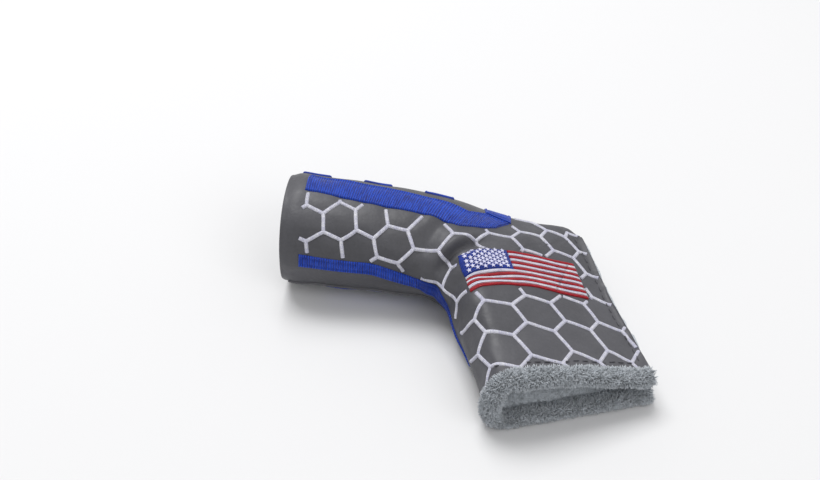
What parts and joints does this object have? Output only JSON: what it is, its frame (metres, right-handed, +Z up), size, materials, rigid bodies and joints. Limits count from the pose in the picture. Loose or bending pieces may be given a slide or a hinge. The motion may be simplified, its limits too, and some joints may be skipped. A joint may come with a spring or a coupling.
{
  "type": "putter head cover",
  "caption": "Padded L shaped cover for a blade putter, lying on its back, with a fleece lined mouth and a front flap that folds open along the heel side.",
  "frame": {"origin": "centre of the bounding box at the bottom, on the surface the cover lies on", "axes": "+X from toe to heel, +Y from the mouth to the sole fold, +Z up out of the front panel"},
  "size_m": [0.1712, 0.121, 0.0524],
  "materials": {
    "grey_leather": "soft sheen, fine grain",
    "padding": "open foam",
    "grey_fleece": "plush pile",
    "closure_tape": "woven tape",
    "grey_thread": "twisted thread",
    "white_thread": "satin stitch",
    "blue_thread": "satin stitch",
    "red_thread": "satin stitch"
  },
  "bodies": {
    "cover": {"outer_shell": "grey_leather", "toe_panel": "grey_leather", "foam_shell": "padding", "toe_foam": "padding", "lining_shell": "grey_fleece", "toe_lining": "grey_fleece", "mouth_roll": "grey_fleece", "loop_tape": "closure_tape", "inner_seam": "grey_thread", "honeycomb_front": "white_thread", "honeycomb_back": "white_thread", "edge_band_front": "blue_thread", "edge_band_back": "blue_thread", "sole_bars": "blue_thread", "inner_trim_front": "blue_thread", "inner_trim_back": "blue_thread", "shell_topstitch": "grey_thread", "flag_canton": "blue_thread", "flag_stars": "white_thread", "flag_red": "red_thread", "flag_white": "white_thread"},
    "front_flap": {"flap_leather": "grey_leather", "flap_foam": "padding", "flap_lining": "grey_fleece", "flap_roll": "grey_fleece", "hook_tape": "closure_tape", "flap_honeycomb": "white_thread", "flap_topstitch": "grey_thread", "flap_flag_red": "red_thread", "flap_flag_white": "white_thread"}
  },
  "joints": [
    {"name": "flap_fold", "type": "hinge", "parent": "cover", "child": "front_flap", "pos_m": [0.05597, 0.04899, 0.0246], "axis": [-0.2917, -0.9539, 0.0706], "range_deg": [0, 78]}
  ]
}
